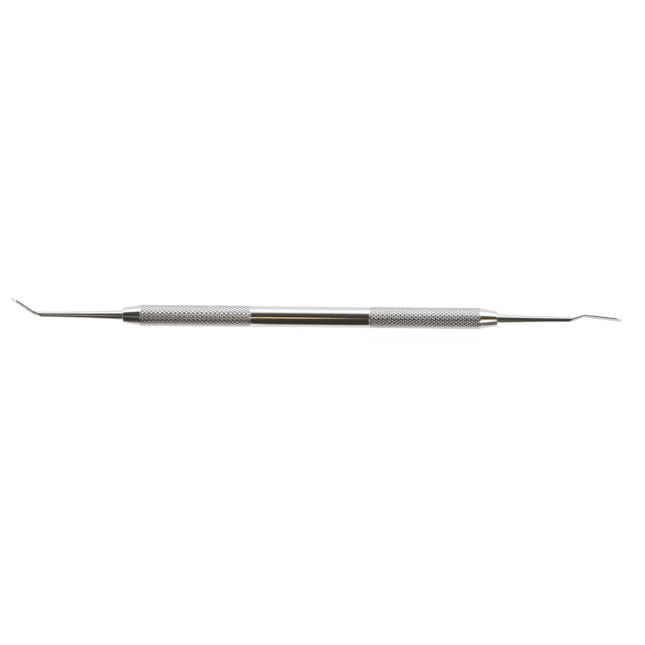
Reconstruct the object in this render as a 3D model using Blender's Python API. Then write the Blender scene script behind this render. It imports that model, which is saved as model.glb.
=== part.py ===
"""Double-ended plastic filling instrument of stainless steel.

The handle is a knurled bar along X with a turned cone at each end. A working end is pressed into a
blind bore in each cone: at -X a flat blade bent at an elbow, at +X a flat blade set off to the side
by a double bend. Both blades bend in one plane. The instrument lies as it comes to rest on a table,
on the outermost crests of its knurl, with both blades rolled a little towards the table.
"""

import math
from dataclasses import dataclass

import bmesh
import bpy
from mathutils import Matrix, Vector

MM = 0.001

# Knurled zones of the handle
CREST_DIAMETER = 6.35 * MM
KNURL_DEPTH = 0.22 * MM
KNURL_PITCH = 1.30 * MM  # from crest to crest along the handle
CRESTS_AROUND = 20
KNURL_LENGTH = 32.5 * MM
END_CREST_RISE = 0.05 * MM  # of each zone's outermost crests, on which the handle rests

# Smooth band between the knurled zones
BAND_LENGTH = 35.0 * MM
BAND_DIAMETER = 6.20 * MM
BAND_CHAMFER = 0.18 * MM

# Cone at each end of the handle
CONE_LENGTH = 5.25 * MM
CONE_DIAMETER = 5.95 * MM
CONE_BULGE = 0.08 * MM
MOUTH_DIAMETER = 4.50 * MM
MOUTH_ROUNDING = 0.20 * MM

# Blind bores, and the tangs pressed into them
TANG_LENGTH = 12.0 * MM
TANG_CHAMFER = 0.30 * MM
BORE_CLEARANCE = 0.06 * MM  # round the tang and in front of it
DRILL_POINT = math.radians(118)

# Rings and points of the turned and forged forms
CONE_STEPS = 3
ROUNDING_STEPS = 2
SHANK_STEPS = 7
BEND_STEP = 0.42 * MM
TIP_STEPS = 7
CORNER_POINTS = 4

# Turn of the plane in which both blades bend, about the handle's axis
BLADE_ROLL = math.radians(19)


@dataclass(frozen=True)
class Bend:
    """A bend of a working end: the straight distance to its corner, its turn and its radius."""

    distance: float
    turn: float
    radius: float

    @property
    def setback(self):
        """Length of either leg that the rounded corner takes up."""
        return self.radius * math.tan(abs(self.turn) / 2)

    @property
    def arc(self):
        """Length of the rounded corner."""
        return self.radius * abs(self.turn)


@dataclass(frozen=True)
class WorkingEnd:
    """Sizes of one working end, along its centreline from the mouth of the handle."""

    name: str
    root_diameter: float
    wire_diameter: float
    taper_power: float
    bends: tuple
    blade_reach: float  # from the corner of the last bend to the tip
    flat_start: float
    flat_length: float
    flat_lag: float  # how much later the blade's inner side is flattened
    neck_width: float
    blade_width: float
    neck_thickness: float
    tip_thickness: float
    edge_rounding: float
    tip_length: float


ELBOW = Bend(distance=25.75 * MM, turn=math.radians(33.7), radius=5.0 * MM)
OUTWARD_BEND = Bend(distance=22.6 * MM, turn=math.radians(21.8), radius=3.0 * MM)
RETURN_BEND = Bend(distance=3.1 * MM, turn=math.radians(-28.3), radius=3.6 * MM)

ANGLED_END = WorkingEnd(
    name="angled_working_end",
    root_diameter=2.86 * MM,
    wire_diameter=1.64 * MM,
    taper_power=1.8,
    bends=(ELBOW,),
    blade_reach=9.0 * MM,
    flat_start=23.7 * MM,
    flat_length=1.9 * MM,
    flat_lag=1.5 * MM,
    neck_width=1.9 * MM,
    blade_width=2.35 * MM,
    neck_thickness=0.45 * MM,
    tip_thickness=0.38 * MM,
    edge_rounding=0.10 * MM,
    tip_length=1.7 * MM,
)

OFFSET_END = WorkingEnd(
    name="offset_working_end",
    root_diameter=2.74 * MM,
    wire_diameter=1.62 * MM,
    taper_power=1.7,
    bends=(OUTWARD_BEND, RETURN_BEND),
    blade_reach=11.2 * MM,
    flat_start=20.9 * MM,
    flat_length=2.2 * MM,
    flat_lag=1.0 * MM,
    neck_width=1.70 * MM,
    blade_width=1.95 * MM,
    neck_thickness=0.44 * MM,
    tip_thickness=0.36 * MM,
    edge_rounding=0.10 * MM,
    tip_length=1.5 * MM,
)

HANDLE_HALF = BAND_LENGTH / 2 + KNURL_LENGTH + CONE_LENGTH


def mix(a, b, share):
    return a + (b - a) * share


def ease(value, start, length):
    """Smooth step from 0 to 1 over a stretch that begins at start."""
    share = min(max((value - start) / length, 0.0), 1.0)
    return share * share * (3 - 2 * share)


def steel(name, colour, roughness):
    material = bpy.data.materials.new(name)
    material.use_nodes = True
    shader = material.node_tree.nodes["Principled BSDF"]
    shader.inputs["Base Color"].default_value = (*colour, 1.0)
    shader.inputs["Metallic"].default_value = 1.0
    shader.inputs["Roughness"].default_value = roughness
    return material


def finished_object(name, mesh, material, smooth_angle):
    """Object of a bmesh whose faces point outwards, shaded smooth up to an angle."""
    bmesh.ops.recalc_face_normals(mesh, faces=mesh.faces)
    data = bpy.data.meshes.new(name)
    mesh.to_mesh(data)
    mesh.free()
    data.materials.append(material)
    data.shade_smooth()
    data.set_sharp_from_angle(angle=smooth_angle)
    piece = bpy.data.objects.new(name, data)
    bpy.context.collection.objects.link(piece)
    return piece


def knurl_rows():
    """Rings of points along one knurled zone, two to a pitch."""
    return round(KNURL_LENGTH / (KNURL_PITCH / 2))


def bore_profile(tang_diameter):
    """Half section of a blind bore as (distance in from the mouth, radius), from its point out."""
    radius = tang_diameter / 2 + BORE_CLEARANCE
    depth = TANG_LENGTH + BORE_CLEARANCE
    point = radius / math.tan(DRILL_POINT / 2)
    return [(depth + point, 0.0), (depth, radius), (0.0, radius)]


def cone_profile():
    """Half section of a cone as (distance in from the mouth, radius), from its face inwards."""
    rim = MOUTH_DIAMETER / 2
    points = []
    for step in range(ROUNDING_STEPS + 1):
        turn = math.pi / 2 * step / ROUNDING_STEPS
        inward = MOUTH_ROUNDING * (1 - math.cos(turn))
        points.append((inward, rim - MOUTH_ROUNDING * (1 - math.sin(turn))))
    for step in range(1, CONE_STEPS + 1):
        share = step / CONE_STEPS
        bulge = 4 * CONE_BULGE * share * (1 - share)
        inward = mix(MOUTH_ROUNDING, CONE_LENGTH, share)
        points.append((inward, mix(rim, CONE_DIAMETER / 2, share) + bulge))
    return points


def handle_profile():
    """Half section of the whole handle as (x, radius), from one bore's point to the other's."""
    root = CREST_DIAMETER / 2 - KNURL_DEPTH
    band_edge = BAND_LENGTH / 2
    rows = knurl_rows()
    spacing = KNURL_LENGTH / rows

    def half(tang_diameter):
        """From a bore's point over the cone and the knurl to the smooth band, at +X."""
        points = [(HANDLE_HALF - inward, radius) for inward, radius in bore_profile(tang_diameter)]
        points += [(HANDLE_HALF - inward, radius) for inward, radius in cone_profile()]
        points += [(band_edge + spacing * row, root) for row in range(rows, -1, -1)]
        points.append((band_edge - BAND_CHAMFER, BAND_DIAMETER / 2))
        return points

    left = [(-x, radius) for x, radius in half(ANGLED_END.root_diameter)]
    return left + half(OFFSET_END.root_diameter)[::-1]


def raise_crests(mesh, step):
    """Lift every second point of the knurled zones to a crest, in diamonds, and crease the grooves."""
    band_edge = BAND_LENGTH / 2
    rows = knurl_rows()
    spacing = KNURL_LENGTH / rows
    crests = set()
    knurled = set()
    for vertex in mesh.verts:
        row = round((abs(vertex.co.x) - band_edge) / spacing)
        on_row = abs(abs(vertex.co.x) - band_edge - row * spacing) < spacing / 100
        radius = math.hypot(vertex.co.y, vertex.co.z)
        if not (on_row and 0 <= row <= rows and radius > CONE_DIAMETER / 2 - KNURL_DEPTH):
            continue
        knurled.add(vertex)
        column = round(math.atan2(vertex.co.y, vertex.co.z) / step)
        if 0 < row < rows and (row + column) % 2 == 1:
            crests.add(vertex)
            height = CREST_DIAMETER / 2 - (END_CREST_RISE if row < rows - 1 else 0.0)
            vertex.co.yz *= height / radius
    for face in list(mesh.faces):
        corners = list(face.verts)
        if len(corners) == 4 and knurled.issuperset(corners) and crests.intersection(corners):
            first = 1 if corners[0] in crests or corners[2] in crests else 0
            bmesh.utils.face_split(face, corners[first], corners[first + 2])


def make_handle():
    """Turned bar with bored cones, a smooth band and two diamond-knurled zones."""
    mesh = bmesh.new()
    segments = 2 * CRESTS_AROUND
    step = 2 * math.pi / segments
    profile = [mesh.verts.new((x, 0.0, radius)) for x, radius in handle_profile()]
    edges = [mesh.edges.new(pair) for pair in zip(profile, profile[1:])]
    bmesh.ops.spin(
        mesh,
        geom=profile + edges,
        cent=(0, 0, 0),
        axis=(1, 0, 0),
        angle=2 * math.pi,
        steps=segments,
        use_merge=True,
    )
    bmesh.ops.remove_doubles(mesh, verts=mesh.verts, dist=MM / 1000)
    raise_crests(mesh, step)
    turned = steel("turned_steel", (0.70, 0.69, 0.67), 0.16)
    return finished_object("knurled_handle", mesh, turned, math.radians(25))


def centreline(end, distance):
    """Point and heading of a working end's centreline at a distance from the mouth."""
    point = Vector((0.0, 0.0))
    heading = 0.0
    used = 0.0
    left = distance
    for bend in end.bends:
        straight = min(left, bend.distance - used - bend.setback)
        point += straight * Vector((math.cos(heading), math.sin(heading)))
        left -= straight
        turned = math.copysign(min(left, bend.arc) / bend.radius, bend.turn)
        chord = 2 * bend.radius * math.sin(abs(turned) / 2)
        middle = heading + turned / 2
        point += chord * Vector((math.cos(middle), math.sin(middle)))
        heading += turned
        left -= min(left, bend.arc)
        used = bend.setback
    point += left * Vector((math.cos(heading), math.sin(heading)))
    return point, heading


def centreline_length(end):
    """Length of the centreline from the mouth to the tip."""
    corners = sum(bend.distance for bend in end.bends) + end.blade_reach
    return corners + sum(bend.arc - 2 * bend.setback for bend in end.bends)


def section(end, distance):
    """Half width, inner and outer half thickness, and corner radii of the forged section."""
    taper = max(1 - distance / end.flat_start, 0.0) ** end.taper_power
    round_radius = mix(end.wire_diameter, end.root_diameter, taper) / 2
    blade_start = end.flat_start + end.flat_length
    blade_end = centreline_length(end)
    along = min(max((distance - blade_start) / (blade_end - blade_start), 0.0), 1.0)
    half_blade = mix(end.neck_thickness, end.tip_thickness, along) / 2
    outer_share = ease(distance, end.flat_start, end.flat_length)
    inner_share = ease(distance, end.flat_start + end.flat_lag, end.flat_length)
    widening = ease(distance, blade_start, (blade_end - blade_start) / 2)
    half_width = mix(round_radius, mix(end.neck_width, end.blade_width, widening) / 2, outer_share)
    to_tip = (blade_end - distance) / end.tip_length
    if to_tip < 1:
        half_width *= math.sqrt(1 - (1 - to_tip) ** 2)
    inner = mix(round_radius, half_blade, inner_share)
    outer = mix(round_radius, half_blade, outer_share)
    side_corner = min(mix(round_radius, end.edge_rounding, outer_share), half_width)
    inner_corner = min(mix(round_radius, end.edge_rounding, inner_share), inner)
    outer_corner = min(mix(round_radius, end.edge_rounding, outer_share), outer)
    return half_width, inner, outer, side_corner, inner_corner, outer_corner


def section_points(end, distance):
    """Ring of points round the centreline, as (bend direction, width direction) offsets."""
    half_width, inner, outer, side_corner, inner_corner, outer_corner = section(end, distance)
    points = []
    for quarter in range(4):
        inner_side = quarter in (0, 3)
        reach = inner if inner_side else -outer
        corner = inner_corner if inner_side else -outer_corner
        side = 1 if quarter < 2 else -1
        for number in range(CORNER_POINTS):
            turn = math.pi / 2 * (quarter + (number + 0.5) / CORNER_POINTS)
            across = reach - corner + corner * abs(math.cos(turn))
            wide = side * (half_width - side_corner + side_corner * abs(math.sin(turn)))
            points.append((across, wide))
    return points


def ring_distances(end):
    """Distances of the rings along the centreline, from the mouth to the tip."""
    length = centreline_length(end)
    tip_start = length - end.tip_length
    last_arc = length - end.blade_reach + end.bends[-1].setback
    forged_end = max(last_arc, end.flat_start + end.flat_lag + end.flat_length)
    steps = round((forged_end - end.flat_start) / BEND_STEP)
    distances = [end.flat_start * step / SHANK_STEPS for step in range(SHANK_STEPS)]
    distances += [mix(end.flat_start, forged_end, step / steps) for step in range(steps + 1)]
    distances.append((forged_end + tip_start) / 2)
    for step in range(TIP_STEPS):
        distances.append(tip_start + end.tip_length * math.sin(math.pi / 2 * step / TIP_STEPS))
    return distances


def add_ring(mesh, ring, places):
    """Extrude a ring of vertices and put the copy at new places, in the same order."""
    edges = [mesh.edges.get((a, b)) for a, b in zip(ring, ring[1:] + ring[:1])]
    made = bmesh.ops.extrude_edge_only(mesh, edges=edges)["geom"]
    fresh = {item for item in made if isinstance(item, bmesh.types.BMVert)}
    copies = []
    for vertex, place in zip(ring, places):
        ends = [edge.other_vert(vertex) for edge in vertex.link_edges]
        copy = next(end for end in ends if end in fresh)
        copies.append(copy)
        fresh.discard(copy)
        copy.co = place
    return copies


def make_working_end(end, material):
    """Tang, tapered shank, bends and blade, lofted ring by ring along the centreline."""
    mesh = bmesh.new()
    points = 4 * CORNER_POINTS
    tang_radius = end.root_diameter / 2
    root = section_points(end, 0.0)

    def tang_places(x, radius):
        share = radius / tang_radius
        return [Vector((x, across * share, wide * share)) for across, wide in root]

    ring = bmesh.ops.create_circle(mesh, segments=points, radius=tang_radius)["verts"]
    for vertex, place in zip(ring, tang_places(-TANG_LENGTH, tang_radius - TANG_CHAMFER)):
        vertex.co = place
    mesh.faces.new(ring)
    ring = add_ring(mesh, ring, tang_places(TANG_CHAMFER - TANG_LENGTH, tang_radius))
    for distance in ring_distances(end):
        point, heading = centreline(end, distance)
        normal = Vector((-math.sin(heading), math.cos(heading)))
        places = [
            Vector((*(point + across * normal), wide)) for across, wide in section_points(end, distance)
        ]
        ring = add_ring(mesh, ring, places)
    mesh.faces.new(ring)
    return finished_object(end.name, mesh, material, math.radians(40))


def rest_on_table(holder, pieces):
    """Move the holder so that the pieces' box stands on Z = 0, centred on the origin."""
    bpy.context.view_layer.update()
    corners = [piece.matrix_world @ vertex.co for piece in pieces for vertex in piece.data.vertices]
    low = Vector([min(corner[axis] for corner in corners) for axis in range(3)])
    high = Vector([max(corner[axis] for corner in corners) for axis in range(3)])
    holder.location -= Vector(((low.x + high.x) / 2, (low.y + high.y) / 2, low.z))


def main():
    for old in list(bpy.data.objects):
        bpy.data.objects.remove(old)
    axis = bpy.data.objects.new("handle_axis", None)
    bpy.context.collection.objects.link(axis)
    handle = make_handle()
    forged = steel("forged_steel", (0.73, 0.72, 0.70), 0.14)
    angled = make_working_end(ANGLED_END, forged)
    offset = make_working_end(OFFSET_END, forged)
    angled.matrix_local = (
        Matrix.Translation((-HANDLE_HALF, 0, 0))
        @ Matrix.Rotation(-BLADE_ROLL, 4, "X")
        @ Matrix.Rotation(math.pi, 4, "Y")
    )
    offset.matrix_local = Matrix.Translation((HANDLE_HALF, 0, 0)) @ Matrix.Rotation(-BLADE_ROLL, 4, "X")
    pieces = (handle, angled, offset)
    for piece in pieces:
        piece.parent = axis
    rest_on_table(axis, pieces)


main()
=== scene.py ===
"""Dress, light and frame the double-ended plastic filling instrument.

The knurled handle and both working ends are remodelled over their solids, with the diamonds, rims
and edges that the eye sees from close by. A pale table, a room of soft lamps and dark walls, and a
few glowing cards give the steel its bands of light. The camera looks straight down, as the
photographer's did.
"""

import logging
import math
from dataclasses import dataclass
from enum import Enum
from typing import Union

import bmesh
import bpy
from mathutils import Matrix, Vector


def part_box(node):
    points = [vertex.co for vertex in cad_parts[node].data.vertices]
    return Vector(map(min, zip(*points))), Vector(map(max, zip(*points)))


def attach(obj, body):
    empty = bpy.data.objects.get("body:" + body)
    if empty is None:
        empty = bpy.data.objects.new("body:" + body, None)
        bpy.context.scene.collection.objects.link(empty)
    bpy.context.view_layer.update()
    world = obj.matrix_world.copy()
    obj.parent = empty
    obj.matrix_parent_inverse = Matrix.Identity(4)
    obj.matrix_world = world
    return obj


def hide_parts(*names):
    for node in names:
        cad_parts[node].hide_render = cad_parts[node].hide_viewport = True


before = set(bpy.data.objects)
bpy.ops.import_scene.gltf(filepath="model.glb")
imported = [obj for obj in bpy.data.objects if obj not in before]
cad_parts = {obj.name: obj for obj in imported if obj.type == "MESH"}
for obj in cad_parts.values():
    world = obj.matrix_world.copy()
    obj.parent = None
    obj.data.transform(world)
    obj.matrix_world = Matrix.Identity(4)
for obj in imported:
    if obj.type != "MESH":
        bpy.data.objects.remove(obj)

MM = 0.001
log = logging.getLogger("filling_instrument")

Colour = tuple[float, float, float]
Amount = Union[float, "Signal"]


def mix(a: float, b: float, share: float) -> float:
    """Value at a share of the way from a to b."""
    return a + (b - a) * share


def ease(value: float, start: float, length: float) -> float:
    """Smooth step from 0 to 1 over a stretch.

    Args:
        value: place to evaluate.
        start: where the step begins.
        length: how long the step is.

    Returns:
        The share, from 0 to 1.
    """
    share = min(max((value - start) / length, 0.0), 1.0)
    return share * share * (3 - 2 * share)


@dataclass(frozen=True)
class Signal:
    """Output of a shader node, which arithmetic carries on with Math nodes."""

    graph: "Graph"
    socket: bpy.types.NodeSocket

    def join(self, operation: str, first: Amount, second: Amount = 0.0) -> "Signal":
        """Math node of two amounts.

        Args:
            operation: the Math node's operation.
            first: first amount.
            second: second amount.

        Returns:
            The node's output.
        """
        return self.graph.signal("ShaderNodeMath", {"operation": operation}, {0: first, 1: second})

    def __add__(self, other: Amount) -> "Signal":
        """Sum."""
        return self.join("ADD", self, other)

    def __radd__(self, other: Amount) -> "Signal":
        """Sum with a number in front."""
        return self.join("ADD", other, self)

    def __sub__(self, other: Amount) -> "Signal":
        """Difference."""
        return self.join("SUBTRACT", self, other)

    def __rsub__(self, other: Amount) -> "Signal":
        """Difference from a number."""
        return self.join("SUBTRACT", other, self)

    def __mul__(self, other: Amount) -> "Signal":
        """Product."""
        return self.join("MULTIPLY", self, other)

    def __rmul__(self, other: Amount) -> "Signal":
        """Product with a number in front."""
        return self.join("MULTIPLY", other, self)

    def __abs__(self) -> "Signal":
        """Absolute value."""
        return self.join("ABSOLUTE", self)

    def power(self, exponent: float) -> "Signal":
        """Power of this signal."""
        return self.join("POWER", self, exponent)

    def ramp(self, low: float, high: float) -> "Signal":
        """Smooth step of this signal.

        Args:
            low: value that gives 0, or 1 where it is the larger one.
            high: value that gives the other end.

        Returns:
            The share, from 0 to 1.
        """
        start, end, first, last = (low, high, 0.0, 1.0) if low < high else (high, low, 1.0, 0.0)
        settings = {"interpolation_type": "SMOOTHSTEP"}
        ends = {"From Min": start, "From Max": end, "To Min": first, "To Max": last}
        return self.graph.signal("ShaderNodeMapRange", settings, {"Value": self, **ends})


class Graph:
    """Shader nodes of one finish, card, table or room."""

    def __init__(self, tree: bpy.types.NodeTree) -> None:
        """Start with an empty tree."""
        self.tree = tree
        tree.nodes.clear()

    def node(self, kind: str, settings: dict, inputs: dict) -> bpy.types.Node:
        """Add a node.

        Args:
            kind: the node's type.
            settings: the node's own properties, set before its sockets.
            inputs: value, signal or output socket for each input, by name or number.

        Returns:
            The new node.
        """
        node = self.tree.nodes.new(kind)
        for name, value in settings.items():
            setattr(node, name, value)
        for key, value in inputs.items():
            socket = node.inputs[key]
            if isinstance(value, Signal):
                self.tree.links.new(value.socket, socket)
            else:
                socket.default_value = value
        return node

    def signal(
        self, kind: str, settings: dict, inputs: dict, output: Union[int, str] = 0
    ) -> Signal:
        """Add a node and take one of its outputs.

        Args:
            kind: the node's type.
            settings: the node's own properties.
            inputs: values or signals for its inputs.
            output: name or number of the output.

        Returns:
            That output.
        """
        return Signal(self, self.node(kind, settings, inputs).outputs[output])

    def place(self, centre: Vector, stretch: Colour = (1.0, 1.0, 1.0)) -> Signal:
        """Object coordinates measured from a centre and stretched.

        Args:
            centre: point that becomes the origin.
            stretch: factor on each axis.

        Returns:
            The coordinates.
        """
        place = self.signal("ShaderNodeTexCoord", {}, {}, "Object")
        moved = self.vector("SUBTRACT", place, tuple(centre))
        return self.vector("MULTIPLY", moved, stretch)

    def vector(self, operation: str, first: Signal, second: Union[Signal, Colour]) -> Signal:
        """Vector Math node of two vectors."""
        return self.signal("ShaderNodeVectorMath", {"operation": operation}, {0: first, 1: second})

    def parts(self, vector: Signal) -> tuple[Signal, Signal, Signal]:
        """X, Y and Z of a vector."""
        node = self.node("ShaderNodeSeparateXYZ", {}, {0: vector})
        return tuple(Signal(self, output) for output in node.outputs)

    def blend(
        self, share: Amount, first: Union[Signal, Colour], second: Union[Signal, Colour]
    ) -> Signal:
        """Mix of two colours.

        Args:
            share: amount of the second colour.
            first: first colour.
            second: second colour.

        Returns:
            The mixed colour.
        """
        pair = [value if isinstance(value, Signal) else (*value, 1.0) for value in (first, second)]
        inputs = {0: share, 6: pair[0], 7: pair[1]}
        return self.signal("ShaderNodeMix", {"data_type": "RGBA"}, inputs, 2)

    def noise(self, vector: Signal, scale: float, detail: float = 2.0) -> Signal:
        """Noise in three dimensions, around 0.5.

        Args:
            vector: coordinates.
            scale: cells per metre.
            detail: octaves.

        Returns:
            The noise.
        """
        inputs = {"Vector": vector, "Scale": scale, "Detail": detail, "Roughness": 0.6}
        return self.signal("ShaderNodeTexNoise", {"noise_dimensions": "3D"}, inputs)

    def finish_metal(
        self, colour: Signal, roughness: Signal, height: Signal, relief: float
    ) -> None:
        """Close the tree with a metallic surface.

        Args:
            colour: base colour.
            roughness: roughness.
            height: height of the surface's grain, from 0 to 1.
            relief: what a height of 1 stands for, in metres.
        """
        bump = {"Height": height, "Distance": relief, "Strength": 1.0}
        grain = self.signal("ShaderNodeBump", {}, bump, "Normal")
        inputs = {"Base Color": colour, "Metallic": 1.0, "Roughness": roughness, "Normal": grain}
        surface = self.signal("ShaderNodeBsdfPrincipled", {}, inputs)
        self.node("ShaderNodeOutputMaterial", {}, {"Surface": surface})


def finished_piece(
    name: str, mesh: bmesh.types.BMesh, material: bpy.types.Material, crease: float
) -> bpy.types.Object:
    """Object of a closed bmesh, shaded smooth up to an angle, riding on the instrument.

    Args:
        name: the piece's name.
        mesh: its bmesh, which is freed.
        material: its finish.
        crease: largest angle between faces that still shades smooth.

    Returns:
        The new object.
    """
    bmesh.ops.recalc_face_normals(mesh, faces=mesh.faces)
    mesh.verts.index_update()
    count = len(mesh.verts)

    def order(face: bmesh.types.BMFace) -> int:
        """Number that puts the faces in the same order each run."""
        first, second, third = sorted(vertex.index for vertex in face.verts)[:3]
        return (first * count + second) * count + third

    mesh.faces.sort(key=order)
    data = bpy.data.meshes.new(name)
    mesh.to_mesh(data)
    mesh.free()
    data.materials.append(material)
    data.shade_smooth()
    data.set_sharp_from_angle(angle=crease)
    piece = bpy.data.objects.new(name, data)
    bpy.context.collection.objects.link(piece)
    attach(piece, "root")
    log.info("%s: %d faces", name, len(data.polygons))
    return piece


@dataclass(frozen=True)
class TurnedSteel:
    """Stainless bar from the lathe, with faint turning rings, darker towards the bottom of the
    knurl's grooves.
    """

    tone: Colour = (0.73, 0.725, 0.71)
    knurl_tone: Colour = (0.80, 0.79, 0.785)
    # colour that the knurl's grooves darken to, towards their bottom
    groove_dark: Colour = (0.05, 0.047, 0.043)
    groove_dark_start: float = 0.55  # share of the knurl's depth at which the grooves begin to darken
    groove_dark_cover: float = 0.55  # darkening of the grooves, where they are least blotched
    blotch_cover: float = 0.7  # added where they are most blotched
    roughness: float = 0.1
    knurl_roughness: float = 0.11
    groove_roughness: float = 0.22
    ring_roughness: float = 0.07  # how far the turning rings vary it
    blotch_roughness: float = 0.05  # how far the blotches vary it
    ring_spacing: float = 0.09 * MM
    ring_changes: float = 40.0  # per metre, round the bar
    blotches: float = 900.0  # per metre
    zone_fade: float = 0.3 * MM  # over which the knurl's finish gives way to the plain bar's
    relief: float = 0.00022 * MM

    def material(self, knurl: "Knurl", centre: Vector, band_edge: float) -> bpy.types.Material:
        """Material of the handle.

        Args:
            knurl: the knurl, whose depth the darkening of its grooves follows.
            centre: middle of the handle, on its axis.
            band_edge: half the length of the smooth band.

        Returns:
            The material.
        """
        material = bpy.data.materials.new("turned_steel")
        material.use_nodes = True
        graph = Graph(material.node_tree)
        place = graph.place(centre)
        along, across, up = graph.parts(place)
        radius = (across * across + up * up).power(0.5)
        reach = abs(along)
        cone_edge = band_edge + knurl.length
        zone = reach.ramp(band_edge, band_edge + self.zone_fade)
        zone = zone * reach.ramp(cone_edge, cone_edge - self.zone_fade)
        crest = knurl.crest_diameter / 2
        depth = zone * radius.ramp(crest - knurl.depth * self.groove_dark_start, crest - knurl.depth)
        stretch = (1 / self.ring_spacing, self.ring_changes, self.ring_changes)
        rings = graph.noise(graph.place(centre, stretch), 1.0)
        blotches = graph.noise(place, self.blotches, detail=4.0)
        tone = graph.blend(zone, self.tone, self.knurl_tone)
        # The knurl's grooves darken towards their bottom, more where the blotches are dense.
        cover = depth * (blotches * self.blotch_cover + self.groove_dark_cover)
        colour = graph.blend(cover, tone, self.groove_dark)
        roughness = self.roughness + (rings - 0.5) * self.ring_roughness
        roughness = roughness + (blotches - 0.5) * self.blotch_roughness
        roughness = roughness + zone * (self.knurl_roughness - self.roughness)
        roughness = roughness + depth * (self.groove_roughness - self.knurl_roughness)
        graph.finish_metal(colour, roughness, rings, self.relief)
        return material


@dataclass(frozen=True)
class ForgedSteel:
    """Forged stainless steel, ground and polished by hand along its length."""

    tone: Colour = (0.75, 0.745, 0.73)
    shade: float = 0.86  # share of the tone that is left in the clouds
    cloud_cover: float = 0.6  # of the shade, where the clouds are densest
    cloud_range: tuple[float, float] = (0.35, 0.8)  # of the noise, from clear to densest
    clouds: float = 700.0  # per metre
    roughness: float = 0.08
    streak_roughness: float = 0.06  # how far the streaks vary it
    cloud_roughness: float = 0.05  # how far the clouds vary it
    streak_width: float = 0.10 * MM
    streak_length: float = 3.0 * MM
    relief: float = 0.00030 * MM

    def material(self, name: str, centre: Vector) -> bpy.types.Material:
        """Material of a working end.

        Args:
            name: the material's name.
            centre: middle of the handle, on its axis.

        Returns:
            The material.
        """
        material = bpy.data.materials.new(name)
        material.use_nodes = True
        graph = Graph(material.node_tree)
        place = graph.place(centre)
        stretch = (1 / self.streak_length, 1 / self.streak_width, 1 / self.streak_width)
        streaks = graph.noise(graph.place(centre, stretch), 1.0, detail=3.0)
        clouds = graph.noise(place, self.clouds, detail=3.0)
        shade = tuple(value * self.shade for value in self.tone)
        colour = graph.blend(clouds.ramp(*self.cloud_range) * self.cloud_cover, self.tone, shade)
        roughness = self.roughness + (streaks - 0.5) * self.streak_roughness
        roughness = roughness + (clouds - 0.5) * self.cloud_roughness
        graph.finish_metal(colour, roughness, streaks, self.relief)
        return material


@dataclass(frozen=True)
class Knurl:
    """Diamond knurl: crests in rows, every second row shifted by half the spacing round the bar."""

    crest_diameter: float = 6.33 * MM
    depth: float = 0.085 * MM
    pitch: float = 1.30 * MM
    crests_around: int = 20
    length: float = 32.5 * MM
    divisions: int = 4  # of half a pitch, along the bar and round it
    worn: float = 0.2  # share of a diamond's half diagonal that its worn top takes
    lean: float = 0.25  # of the crests against the way round, as the knurling wheel pressed them
    run_out: float = 0.40 * MM  # over which the diamonds rise at either edge of a zone

    @property
    def rows(self) -> int:
        """Rows of crests and of grooves' crossings along a zone."""
        return round(self.length / (self.pitch / 2))

    @property
    def columns(self) -> int:
        """Crests of two neighbouring rows, round the bar."""
        return 2 * self.crests_around

    def relief(self, along: float, around: float) -> float:
        """Height of the diamonds at a place of the zone.

        Args:
            along: rows from the zone's edge.
            around: columns, from half a column beside straight up.

        Returns:
            Share of the depth, 0 in a groove and 1 on a crest.
        """
        # The grooves run both ways along the diagonals, and each crest leans off their middle.
        away = 0.0
        for place, crest in ((along + around, -self.lean), (along - around, self.lean)):
            turns = (place + 1) / 2
            offset = 2 * (turns - round(turns)) - crest
            away = max(away, offset / (1 - crest) if offset > 0 else -offset / (1 + crest))
        edge = min(along, self.rows - along) * self.length / self.rows / self.run_out
        return min((1 - away) / (1 - self.worn), 1.0, edge)


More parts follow.
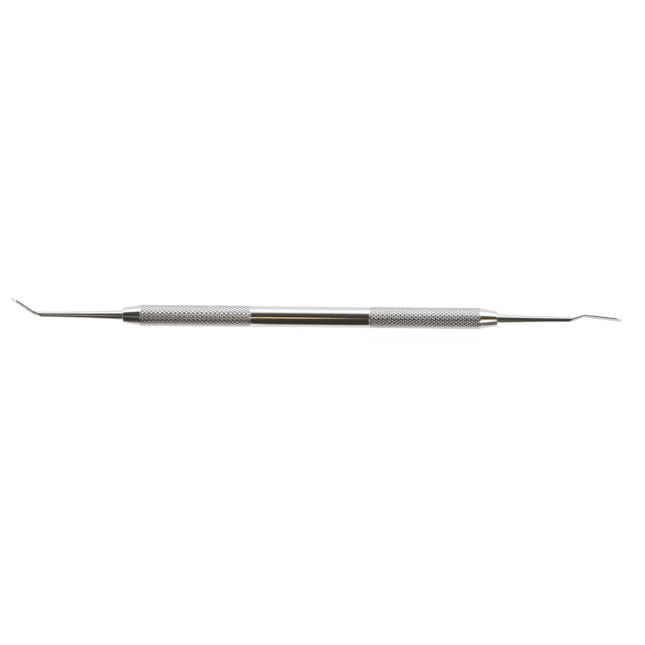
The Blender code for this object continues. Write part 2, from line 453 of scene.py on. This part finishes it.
@dataclass(frozen=True)
class Handle:
    """Knurled bar with a smooth band in its middle and a bored cone at each end."""

    knurl: Knurl = Knurl()
    band_length: float = 35.0 * MM
    band_diameter: float = 6.20 * MM
    band_chamfer: float = 0.06 * MM
    cone_length: float = 5.25 * MM
    cone_diameter: float = 6.15 * MM
    cone_bulge: float = 0.02 * MM
    mouth_diameter: float = 4.56 * MM
    mouth_rounding: float = 0.38 * MM
    bore_depth: float = 12.06 * MM
    bore_clearance: float = 0.06 * MM
    bore_lip: tuple[float, float] = (0.3 * MM, 0.02 * MM)  # depth and rise of its mouth's chamfer
    drill_point: float = math.radians(118)
    shading_ring: float = 0.15 * MM  # from the band's chamfer to where its own shading starts
    cone_steps: int = 16
    rounding_steps: int = 6
    crease: float = math.radians(25)  # largest angle between faces that still shades smooth

    @property
    def half(self) -> float:
        """Half the handle's length."""
        return self.band_length / 2 + self.knurl.length + self.cone_length

    def mouth(self) -> list[tuple[float, float]]:
        """Half section of the mouth's rim and the cone.

        Returns:
            Points as distance in from the mouth and radius.
        """
        rim = self.mouth_diameter / 2
        points = []
        for step in range(self.rounding_steps + 1):
            turn = math.pi / 2 * step / self.rounding_steps
            inward = self.mouth_rounding * (1 - math.cos(turn))
            points.append((inward, rim - self.mouth_rounding * (1 - math.sin(turn))))
        for step in range(1, self.cone_steps + 1):
            share = step / self.cone_steps
            bulge = 4 * self.cone_bulge * share * (1 - share)
            inward = mix(self.mouth_rounding, self.cone_length, share)
            points.append((inward, mix(rim, self.cone_diameter / 2, share) + bulge))
        return points

    def side(self, tang_diameter: float) -> list[tuple[float, float]]:
        """Half section of one side of the handle, from its bore's point to the smooth band.

        Args:
            tang_diameter: diameter of the tang in the bore.

        Returns:
            Points as distance from the handle's middle and radius.
        """
        bore = tang_diameter / 2 + self.bore_clearance
        point = self.bore_depth + bore / math.tan(self.drill_point / 2)
        lip_depth, lip_rise = self.bore_lip
        inner = [(point, 0.0), (self.bore_depth, bore), (lip_depth, bore), (0.0, bore + lip_rise)]
        points = [(self.half - inward, radius) for inward, radius in inner + self.mouth()]
        edge = self.band_length / 2
        count = self.knurl.rows * self.knurl.divisions
        root = self.knurl.crest_diameter / 2 - self.knurl.depth
        points += [(edge + self.knurl.length * row / count, root) for row in range(count, -1, -1)]
        band_start = edge - self.band_chamfer
        points += [(band_start, self.band_diameter / 2)]
        points += [(band_start - self.shading_ring, self.band_diameter / 2)]
        return points

    def raise_knurl(self, mesh: bmesh.types.BMesh) -> None:
        """Lift the diamonds out of both knurled zones and fold the faces along their grooves.

        Args:
            mesh: the handle's bmesh, with its axis on X and its middle at the origin.
        """
        edge = self.band_length / 2
        root = self.knurl.crest_diameter / 2 - self.knurl.depth
        spacing = self.knurl.length / self.knurl.rows
        slack = spacing / 100
        level = 0.001  # of the depth, between corners that count as level
        heights = {}
        for vertex in mesh.verts:
            reach = abs(vertex.co.x) - edge
            radius = math.hypot(vertex.co.y, vertex.co.z)
            if not (-slack < reach < self.knurl.length + slack and abs(radius - root) < slack):
                continue
            around = math.atan2(vertex.co.y, vertex.co.z) * self.knurl.columns / (2 * math.pi) + 0.5
            height = self.knurl.relief(max(reach, 0.0) / spacing, around)
            heights[vertex] = height
            vertex.co.yz *= (root + self.knurl.depth * height) / radius
        for face in list(mesh.faces):
            corners = list(face.verts)
            if len(corners) != 4 or not all(corner in heights for corner in corners):
                continue
            levels = [heights[corner] for corner in corners]
            if max(levels) - min(levels) > level:
                first = 0 if abs(levels[0] - levels[2]) < abs(levels[1] - levels[3]) else 1
                bmesh.utils.face_split(face, corners[first], corners[first + 2])

    def build(
        self, centre: Vector, tangs: tuple[float, float], finish: TurnedSteel
    ) -> bpy.types.Object:
        """Spin, knurl and dress the handle.

        Args:
            centre: middle of the handle, on its axis.
            tangs: diameters of the tangs at -X and at +X.
            finish: its finish.

        Returns:
            The handle.
        """
        mesh = bmesh.new()
        left = [(-x, radius) for x, radius in self.side(tangs[0])]
        outline = left + self.side(tangs[1])[::-1]
        points = [mesh.verts.new((x, 0.0, radius)) for x, radius in outline]
        edges = [mesh.edges.new(pair) for pair in zip(points, points[1:])]
        bmesh.ops.spin(
            mesh,
            geom=points + edges,
            cent=(0, 0, 0),
            axis=(1, 0, 0),
            angle=2 * math.pi,
            steps=self.knurl.columns * self.knurl.divisions,
            use_merge=True,
        )
        bmesh.ops.remove_doubles(mesh, verts=mesh.verts, dist=MM / 10000)
        self.raise_knurl(mesh)
        bmesh.ops.translate(mesh, verts=mesh.verts, vec=centre)
        material = finish.material(self.knurl, centre, self.band_length / 2)
        handle = finished_piece("handle_bar", mesh, material, self.crease)
        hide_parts("knurled_handle")
        return handle


@dataclass(frozen=True)
class Bend:
    """A bend of a working end: the straight distance to its corner, its turn and its radius."""

    distance: float
    turn: float
    radius: float

    @property
    def setback(self) -> float:
        """Length of either leg that the rounded corner takes up."""
        return self.radius * math.tan(abs(self.turn) / 2)

    @property
    def arc(self) -> float:
        """Length of the rounded corner."""
        return self.radius * abs(self.turn)


@dataclass(frozen=True)
class Section:
    """Forged section at one place of a working end."""

    half_width: float
    inner: float  # from the centreline to the side that the first bend turns to
    outer: float  # from the centreline to the other side
    side_corner: float  # size of the corners along the width
    inner_corner: float  # size of the corners across it, on either side
    outer_corner: float

    def points(self, corner_points: int) -> list[tuple[float, float]]:
        """Points round the centreline.

        Args:
            corner_points: points in each of the four corners.

        Returns:
            Offsets towards the bend and along the width.
        """
        points = []
        for quarter in range(4):
            inner_side = quarter in (0, 3)
            reach = self.inner if inner_side else -self.outer
            corner = self.inner_corner if inner_side else -self.outer_corner
            side = 1 if quarter < 2 else -1
            for number in range(corner_points):
                turn = math.pi / 2 * (quarter + (number + 0.5) / corner_points)
                across = reach - corner + corner * abs(math.cos(turn))
                wide = self.half_width - self.side_corner + self.side_corner * abs(math.sin(turn))
                points.append((across, side * wide))
        return points


@dataclass(frozen=True)
class WorkingEnd:
    """A tang, a tapered shank and a flat blade, forged in one along a bent centreline."""

    name: str
    node: str
    root_diameter: float  # of the tang, and of the shank in the handle's mouth
    wire_diameter: float  # of the shank where its flat begins
    taper_power: float  # 1 for a straight taper, more for one that thins early
    bends: tuple[Bend, ...]
    blade_reach: float  # from the corner of the last bend to the tip
    flat_start: float  # from the handle's mouth to where the round shank ends
    flat_length: float  # over which it becomes flat
    flat_lag: float  # how much later the blade's inner side is flattened
    neck_width: float
    blade_width: float
    neck_thickness: float
    tip_thickness: float
    tip_length: float
    widening: float = 0.5  # share of the blade, from its neck, over which it widens
    edge_rounding: float = 0.06 * MM
    tang_length: float = 12.0 * MM
    tang_chamfer: float = 0.30 * MM
    step: float = 0.22 * MM  # from ring to ring
    tip_steps: int = 18
    tip_inset: float = 0.06 * MM  # how far the last ring stays short of the tip's very point
    rim_share: float = 0.35  # of the blade's thickness, left at the tip's rim
    corner_points: int = 16
    crease: float = math.radians(35)  # largest angle between faces that still shades smooth

    def centreline(self, distance: float) -> tuple[Vector, float]:
        """Place on the centreline.

        Args:
            distance: distance from the handle's mouth.

        Returns:
            The point and the heading there.
        """
        point = Vector((0.0, 0.0))
        heading = 0.0
        used = 0.0
        left = distance
        for bend in self.bends:
            straight = min(left, bend.distance - used - bend.setback)
            point += straight * Vector((math.cos(heading), math.sin(heading)))
            left -= straight
            turned = math.copysign(min(left, bend.arc) / bend.radius, bend.turn)
            chord = 2 * bend.radius * math.sin(abs(turned) / 2)
            middle = heading + turned / 2
            point += chord * Vector((math.cos(middle), math.sin(middle)))
            heading += turned
            left -= min(left, bend.arc)
            used = bend.setback
        point += left * Vector((math.cos(heading), math.sin(heading)))
        return point, heading

    @property
    def length(self) -> float:
        """Length of the centreline from the mouth to the tip."""
        corners = sum(bend.distance for bend in self.bends) + self.blade_reach
        return corners + sum(bend.arc - 2 * bend.setback for bend in self.bends)

    def section(self, distance: float) -> Section:
        """Forged section at one place, down to the rounded rim of the tip.

        Args:
            distance: distance from the handle's mouth.

        Returns:
            The section.
        """
        taper = max(1 - distance / self.flat_start, 0.0) ** self.taper_power
        round_radius = mix(self.wire_diameter, self.root_diameter, taper) / 2
        blade_start = self.flat_start + self.flat_length
        along = min(max((distance - blade_start) / (self.length - blade_start), 0.0), 1.0)
        half_blade = mix(self.neck_thickness, self.tip_thickness, along) / 2
        outer_share = ease(distance, self.flat_start, self.flat_length)
        inner_share = ease(distance, self.flat_start + self.flat_lag, self.flat_length)
        widened = ease(distance, blade_start, (self.length - blade_start) * self.widening)
        width = mix(self.neck_width, self.blade_width, widened)
        half_width = mix(round_radius, width / 2, outer_share)
        rim = self.tip_thickness / 2
        to_tip = self.length - distance
        if to_tip < self.tip_length:
            half_width *= math.sqrt(max(1 - (1 - to_tip / self.tip_length) ** 2, 0.0))
        if to_tip < rim:
            half_blade *= mix(self.rim_share, 1.0, math.sqrt(max(1 - (1 - to_tip / rim) ** 2, 0.0)))
        inner = mix(round_radius, half_blade, inner_share)
        outer = mix(round_radius, half_blade, outer_share)
        return Section(
            half_width=half_width,
            inner=inner,
            outer=outer,
            side_corner=min(mix(round_radius, self.edge_rounding, outer_share), half_width),
            inner_corner=min(mix(round_radius, self.edge_rounding, inner_share), inner),
            outer_corner=min(mix(round_radius, self.edge_rounding, outer_share), outer),
        )

    def distances(self) -> list[float]:
        """Places of the rings, which stand closer towards the tip.

        Returns:
            Distances from the handle's mouth.
        """
        tip_start = self.length - self.tip_length
        count = round(tip_start / self.step)
        distances = [tip_start * number / count for number in range(count)]
        reach = self.tip_length - self.tip_inset
        for number in range(self.tip_steps + 1):
            distances.append(tip_start + reach * math.sin(math.pi / 2 * number / self.tip_steps))
        return distances

    def add_ring(
        self, mesh: bmesh.types.BMesh, ring: list[bmesh.types.BMVert], places: list[Vector]
    ) -> list[bmesh.types.BMVert]:
        """Extrude a ring and put the copy at new places.

        Args:
            mesh: the end's bmesh.
            ring: vertices of the last ring.
            places: places of the new one, in the same order.

        Returns:
            Vertices of the new ring.
        """
        edges = [mesh.edges.get((a, b)) for a, b in zip(ring, ring[1:] + ring[:1])]
        made = bmesh.ops.extrude_edge_only(mesh, edges=edges)["geom"]
        fresh = {item for item in made if isinstance(item, bmesh.types.BMVert)}
        copies = []
        for vertex, place in zip(ring, places):
            ends = [edge.other_vert(vertex) for edge in vertex.link_edges]
            copy = next(end for end in ends if end in fresh)
            fresh.discard(copy)
            copy.co = place
            copies.append(copy)
        return copies

    def build(self, frame_of_end: Matrix, finish: ForgedSteel, centre: Vector) -> bpy.types.Object:
        """Loft the end ring by ring, put it into the handle and dress it.

        Args:
            frame_of_end: the end's own frame, with X out of the handle's mouth.
            finish: its finish.
            centre: middle of the handle, on its axis.

        Returns:
            The working end.
        """
        mesh = bmesh.new()
        radius = self.root_diameter / 2
        root = self.section(0.0).points(self.corner_points)

        def tang(x: float, size: float) -> list[Vector]:
            """Places of a ring of the tang."""
            return [
                Vector((x, across * size / radius, wide * size / radius)) for across, wide in root
            ]

        circle = bmesh.ops.create_circle(mesh, segments=4 * self.corner_points, radius=radius)
        ring = circle["verts"]
        for vertex, place in zip(ring, tang(-self.tang_length, radius - self.tang_chamfer)):
            vertex.co = place
        mesh.faces.new(ring)
        ring = self.add_ring(mesh, ring, tang(self.tang_chamfer - self.tang_length, radius))
        for distance in self.distances():
            point, heading = self.centreline(distance)
            normal = Vector((-math.sin(heading), math.cos(heading)))
            offsets = self.section(distance).points(self.corner_points)
            places = [Vector((*(point + across * normal), wide)) for across, wide in offsets]
            ring = self.add_ring(mesh, ring, places)
        mesh.faces.new(ring)
        bmesh.ops.transform(mesh, matrix=frame_of_end, verts=mesh.verts)
        material = finish.material(f"{self.name}_steel", centre)
        end = finished_piece(self.name, mesh, material, self.crease)
        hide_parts(self.node)
        return end


ANGLED_END = WorkingEnd(
    name="angled_end",
    node="angled_working_end",
    root_diameter=2.86 * MM,
    wire_diameter=1.64 * MM,
    taper_power=1.8,
    bends=(Bend(distance=25.75 * MM, turn=math.radians(33.7), radius=3.0 * MM),),
    blade_reach=8.92 * MM,
    flat_start=23.7 * MM,
    flat_length=1.9 * MM,
    flat_lag=1.5 * MM,
    neck_width=1.9 * MM,
    blade_width=2.35 * MM,
    neck_thickness=0.52 * MM,
    tip_thickness=0.44 * MM,
    tip_length=2.1 * MM,
)

OFFSET_END = WorkingEnd(
    name="offset_end",
    node="offset_working_end",
    root_diameter=2.74 * MM,
    wire_diameter=1.62 * MM,
    taper_power=1.7,
    bends=(
        Bend(distance=22.6 * MM, turn=math.radians(21.8), radius=3.0 * MM),
        Bend(distance=3.1 * MM, turn=math.radians(-28.3), radius=3.6 * MM),
    ),
    blade_reach=11.2 * MM,
    flat_start=20.9 * MM,
    flat_length=2.2 * MM,
    flat_lag=1.0 * MM,
    neck_width=1.70 * MM,
    blade_width=1.95 * MM,
    neck_thickness=0.48 * MM,
    tip_thickness=0.42 * MM,
    tip_length=1.5 * MM,
)


@dataclass(frozen=True)
class Instrument:
    """The whole instrument: both working ends pressed into the handle's cones."""

    handle: Handle = Handle()
    angled: WorkingEnd = ANGLED_END
    offset: WorkingEnd = OFFSET_END
    blade_roll: float = math.radians(19)  # turn of the blades' plane about the handle's axis

    def centre(self) -> Vector:
        """Middle of the handle on its axis, from the solid's box."""
        low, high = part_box("knurled_handle")
        return (low + high) / 2

    def build(self) -> None:
        """Build and dress the three pieces."""
        centre = self.centre()
        tangs = (self.angled.root_diameter, self.offset.root_diameter)
        self.handle.build(centre, tangs, TurnedSteel())
        roll = Matrix.Rotation(-self.blade_roll, 4, "X")
        left = Matrix.Translation(centre - Vector((self.handle.half, 0, 0))) @ roll
        right = Matrix.Translation(centre + Vector((self.handle.half, 0, 0))) @ roll
        self.angled.build(left @ Matrix.Rotation(math.pi, 4, "Y"), ForgedSteel(), centre)
        self.offset.build(right, ForgedSteel(), centre)


class Wall(Enum):
    """Dark parts of the room, as they shine into the steel."""

    FAR = (0.07, 0.076, 0.068)
    NEAR = (0.052, 0.041, 0.029)
    OVERHEAD = (0.035, 0.026, 0.018)


class Shine(Enum):
    """Colours of the lamps that light the room from more than one side."""

    SOFTBOX = (1.36, 1.35, 1.38)
    INNER = (1.8, 1.8, 1.8)
    LOW = (0.3, 0.279, 0.255)
    TABLE = (0.70, 0.66, 0.62)


EVERYWHERE = (-2.0, 2.0)  # sines of angles along X
LEFT_FLANKS = (-0.28, -0.195)  # where the left flanks of the diamonds look, and the cones don't
RIGHT_FLANKS = (0.195, 0.28)


@dataclass(frozen=True)
class Lamp:
    """A field of the room in one colour, between two angles from straight up and two along X."""

    name: str
    angles: tuple[float, float]  # from straight up towards +Y, in degrees
    colour: Colour
    fades: tuple[float, float]  # how far the border at either angle fades, in degrees
    span: tuple[float, float] = EVERYWHERE  # sines of the angles along X
    span_fade: float = 0.02

    def light(self, graph: Graph, around: Signal, along: Signal, room: Signal) -> Signal:
        """Add the field to the room.

        Args:
            graph: the room's tree.
            around: angle from straight up, towards +Y.
            along: sine of the angle along X.
            room: colour of the room so far.

        Returns:
            Colour of the room with this field.
        """
        low, high = self.angles
        low_fade, high_fade = self.fades
        start, end = self.span
        share = around.ramp(low - low_fade, low + low_fade)
        share = share * around.ramp(high + high_fade, high - high_fade)
        if start > -1:
            share = share * along.ramp(start - self.span_fade, start + self.span_fade)
        if end < 1:
            share = share * along.ramp(end + self.span_fade, end - self.span_fade)
        return graph.blend(share, room, self.colour)


def stage_sheet(
    name: str, size: tuple[float, float], centre: Vector
) -> tuple[bpy.types.Object, Graph]:
    """Level sheet for the stage.

    Args:
        name: name of the sheet and of its material.
        size: its size along X and along Y.
        centre: its middle.

    Returns:
        The new object and the empty tree of its material.
    """
    mesh = bmesh.new()
    bmesh.ops.create_grid(mesh, x_segments=1, y_segments=1, size=0.5)
    bmesh.ops.scale(mesh, verts=mesh.verts, vec=(*size, 1.0))
    bmesh.ops.translate(mesh, verts=mesh.verts, vec=centre)
    data = bpy.data.meshes.new(name)
    mesh.to_mesh(data)
    mesh.free()
    material = bpy.data.materials.new(name)
    material.use_nodes = True
    data.materials.append(material)
    sheet = bpy.data.objects.new(name, data)
    bpy.context.collection.objects.link(sheet)
    return sheet, Graph(material.node_tree)


@dataclass(frozen=True)
class Card:
    """Glowing card over the table, near enough to shine into one part of the handle alone."""

    name: str
    centre: tuple[float, float]
    size: tuple[float, float]
    colour: Colour
    soft: tuple[float, float]  # how far its edges fade, along X and along Y
    height: float = 600.0 * MM

    def build(self) -> None:
        """Hang the card, which the camera looks through."""
        centre = Vector((*self.centre, self.height))
        card, graph = stage_sheet(self.name, self.size, centre)
        seen = graph.signal("ShaderNodeLightPath", {}, {}, "Is Camera Ray")
        along, across, _ = graph.parts(graph.place(centre))
        wide, deep = (size / 2 for size in self.size)
        share = abs(along).ramp(wide, wide - self.soft[0])
        share = share * abs(across).ramp(deep, deep - self.soft[1])
        clear = graph.signal("ShaderNodeBsdfTransparent", {}, {})
        light = {"Color": (*self.colour, 1.0), "Strength": 1.0}
        glow = graph.signal("ShaderNodeEmission", {}, light)
        layers = {0: share * (1.0 - seen), 1: clear, 2: glow}
        surface = graph.signal("ShaderNodeMixShader", {}, layers)
        graph.node("ShaderNodeOutputMaterial", {}, {"Surface": surface})


@dataclass(frozen=True)
class Patch:
    """A part of the table that shines dark into the steel, on the near side of the handle."""

    reach: tuple[float, float]  # from the middle along X, where it starts and where it is full
    side: tuple[float, float]  # along Y, where it starts and where it is full

    def share(self, reach: Signal, side: Signal) -> Signal:
        """How dark a place of the table is, from 0 to 1."""
        return reach.ramp(*self.reach) * side.ramp(*self.side)


@dataclass(frozen=True)
class Studio:
    """Pale table, soft light and dark walls."""

    table_size: float = 60.0
    table_drop: float = 0.02 * MM  # below the instrument
    paint: Colour = (0.22, 0.22, 0.22)
    paint_hidden: float = 0.8  # share of the paint that doesn't shine into the steel
    glow: float = 0.945  # part of the table's white that the object's shadow can't reach
    reflected: Colour = (0.93, 0.915, 0.915)
    reflected_near: Colour = (0.97, 0.92, 0.88)
    near_border: float = 3.0 * MM  # to either side of the handle's axis, where the two meet
    reflected_tips: Colour = (0.84, 0.83, 0.82)
    tips: tuple[float, float] = (66.0 * MM, 74.0 * MM)  # along X, where they start and are full
    patch_tone: Colour = (0.05, 0.04, 0.03)
    band_patch: Patch = Patch((19.0 * MM, 16.0 * MM), (-34.0 * MM, -46.0 * MM))
    shank_patch: Patch = Patch((56.0 * MM, 62.0 * MM), (-8.0 * MM, -20.0 * MM))
    wall_border: float = 3.0  # degrees to either side of straight up, where the walls meet
    overhead: tuple[float, ...] = (-6.0, -2.0, 5.0, 10.0)  # degrees, from fade in to fade out
    lamps: tuple[Lamp, ...] = (
        Lamp("far_softbox", (42.0, 92.0), Shine.SOFTBOX.value, (12.0, 14.0)),
        Lamp("far_softbox_right", (34.0, 60.0), Shine.SOFTBOX.value, (8.0, 10.0), (0.27, 2.0)),
        Lamp("far_wall_left", (16.0, 41.5), (0.035, 0.040, 0.038), (6.0, 1.5), (-2.0, -0.055)),
        Lamp("far_wall_right", (24.0, 41.0), (0.10, 0.095, 0.11), (5.0, 2.0), (0.055, 0.25)),
        Lamp("inner_left", (5.0, 60.0), Shine.INNER.value, (4.0, 10.0), LEFT_FLANKS, 0.015),
        Lamp("inner_right", (5.0, 60.0), Shine.INNER.value, (4.0, 10.0), RIGHT_FLANKS, 0.015),
        Lamp("low_left", (-44.0, -4.0), Shine.LOW.value, (6.0, 6.0), LEFT_FLANKS, 0.015),
        Lamp("low_right", (-44.0, -4.0), Shine.LOW.value, (6.0, 6.0), RIGHT_FLANKS, 0.015),
        Lamp("table_left", (-100.0, -56.0), Shine.TABLE.value, (6.0, 8.0), LEFT_FLANKS, 0.015),
        Lamp("table_right", (-100.0, -56.0), Shine.TABLE.value, (6.0, 8.0), RIGHT_FLANKS, 0.015),
        Lamp("right_wall", (-84.0, -50.0), (0.17, 0.145, 0.16), (6.0, 6.0), (0.30, 2.0), 0.015),
        Lamp("near_left", (-34.0, -14.0), (0.72, 0.68, 0.63), (2.0, 2.0), (-0.15, -0.06), 0.012),
        Lamp("near_right", (-19.0, -9.0), (0.20, 0.17, 0.13), (2.0, 2.0), (-0.05, 0.12)),
        Lamp("beige_wall", (-52.0, -30.0), (0.46, 0.40, 0.33), (4.0, 4.0), (0.14, 0.18), 0.012),
        Lamp("left_wall", (-30.0, -8.0), (0.17, 0.19, 0.17), (8.0, 6.0), (-2.0, -0.20), 0.03),
    )
    cards: tuple[Card, ...] = (
        Card(
            "lamp_card",
            centre=(290.0 * MM, -438.0 * MM),
            size=(200.0 * MM, 500.0 * MM),
            colour=(1.5, 1.47, 1.44),
            soft=(50.0 * MM, 50.0 * MM),
        ),
        Card(
            "warm_card",
            centre=(335.0 * MM, -130.0 * MM),
            size=(190.0 * MM, 150.0 * MM),
            colour=(0.66, 0.40, 0.19),
            soft=(25.0 * MM, 25.0 * MM),
        ),
        Card(
            "strip_card",
            centre=(-12.0 * MM, -10.0 * MM),
            size=(54.0 * MM, 7.5 * MM),
            colour=(1.3, 0.93, 0.52),
            soft=(22.0 * MM, 1.3 * MM),
            height=42.0 * MM,
        ),
        Card(
            "dot_card",
            centre=(-39.8 * MM, -9.8 * MM),
            size=(41.0 * MM, 7.3 * MM),
            colour=(1.3, 1.25, 1.18),
            soft=(1.5 * MM, 1.3 * MM),
            height=41.0 * MM,
        ),
    )

    def table(self) -> None:
        """Lay the table: white to camera and steel, with the instrument's soft shadow."""
        size = (self.table_size, self.table_size)
        table, graph = stage_sheet("table", size, Vector((0.0, 0.0, -self.table_drop)))
        steel = graph.signal("ShaderNodeLightPath", {}, {}, "Is Glossy Ray")
        along, side, _ = graph.parts(graph.place(Vector()))
        reach = abs(along)
        far = side.ramp(-self.near_border, self.near_border)
        tint = graph.blend(far, self.reflected_near, self.reflected)
        tint = graph.blend(reach.ramp(*self.tips), tint, self.reflected_tips)
        dark = self.band_patch.share(reach, side) + self.shank_patch.share(reach, side)
        tint = graph.blend(dark, tint, self.patch_tone)
        colour = graph.blend(steel, (self.glow, self.glow, self.glow), tint)
        paint = graph.signal("ShaderNodeBsdfDiffuse", {}, {"Color": (*self.paint, 1.0)})
        glow = graph.signal("ShaderNodeEmission", {}, {"Color": colour, "Strength": 1.0})
        shaded = graph.signal("ShaderNodeMixShader", {}, {0: steel * self.paint_hidden, 1: paint})
        both = graph.signal("ShaderNodeAddShader", {}, {0: shaded, 1: glow})
        graph.node("ShaderNodeOutputMaterial", {}, {"Surface": both})

    def room(self) -> None:
        """Set the world: white behind the table, the lamps and dark walls in the steel."""
        world = bpy.data.worlds.new("room")
        bpy.context.scene.world = world
        world.use_nodes = True
        graph = Graph(world.node_tree)
        seen = graph.signal("ShaderNodeLightPath", {}, {}, "Is Camera Ray")
        direction = graph.signal("ShaderNodeTexCoord", {}, {}, "Generated")
        along, side, up = graph.parts(direction)
        around = side.join("ARCTAN2", side, up) * (180 / math.pi)
        far = around.ramp(-self.wall_border, self.wall_border)
        room = graph.blend(far, Wall.NEAR.value, Wall.FAR.value)
        start, full, fading, end = self.overhead
        overhead = around.ramp(start, full) * around.ramp(end, fading)
        room = graph.blend(overhead, room, Wall.OVERHEAD.value)
        for lamp in self.lamps:
            room = lamp.light(graph, around, along, room)
        colour = graph.blend(seen, room, (1.0, 1.0, 1.0))
        back = graph.signal("ShaderNodeBackground", {}, {"Color": colour, "Strength": 1.0})
        graph.node("ShaderNodeOutputWorld", {}, {"Surface": back})

    def build(self) -> None:
        """Set up the table, the room and the cards."""
        self.table()
        self.room()
        for card in self.cards:
            card.build()
        log.info("lamps: %s", ", ".join(lamp.name for lamp in self.lamps))
        log.info("cards: %s", ", ".join(card.name for card in self.cards))


@dataclass(frozen=True)
class Viewpoint:
    """Camera straight above the table, turned so that the handle slopes down to the right."""

    height: float = 0.90
    pixels: int = 645  # across the picture
    pixel: float = 0.2950 * MM  # of the table, in each of them
    turn: float = math.radians(0.565)
    right: float = 3.68 * MM  # from the handle's middle to the picture's
    down: float = 1.651 * MM
    film: float = 36.0
    clip: tuple[float, float] = (0.01, 50.0)

    def build(self, centre: Vector) -> None:
        """Place the camera over the handle.

        Args:
            centre: middle of the handle, on its axis.
        """
        data = bpy.data.cameras.new("camera")
        data.sensor_width = self.film
        data.lens = self.film * (self.height - centre.z) / (self.pixels * self.pixel)
        data.clip_start, data.clip_end = self.clip
        camera = bpy.data.objects.new("camera", data)
        bpy.context.collection.objects.link(camera)
        across = Vector((math.cos(self.turn), math.sin(self.turn), 0.0))
        upward = Vector((-math.sin(self.turn), math.cos(self.turn), 0.0))
        spot = centre + self.right * across - self.down * upward
        camera.location = (spot.x, spot.y, self.height)
        camera.rotation_euler = (0.0, 0.0, self.turn)
        bpy.context.scene.camera = camera


def main() -> None:
    """Build the instrument, the studio and the camera."""
    logging.basicConfig(level=logging.INFO, format="%(name)s: %(message)s")
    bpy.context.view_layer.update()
    bpy.context.scene.view_settings.view_transform = "Standard"
    instrument = Instrument()
    instrument.build()
    Studio().build()
    Viewpoint().build(instrument.centre())
    log.info("boxes noted")


if __name__ == "__main__":
    main()
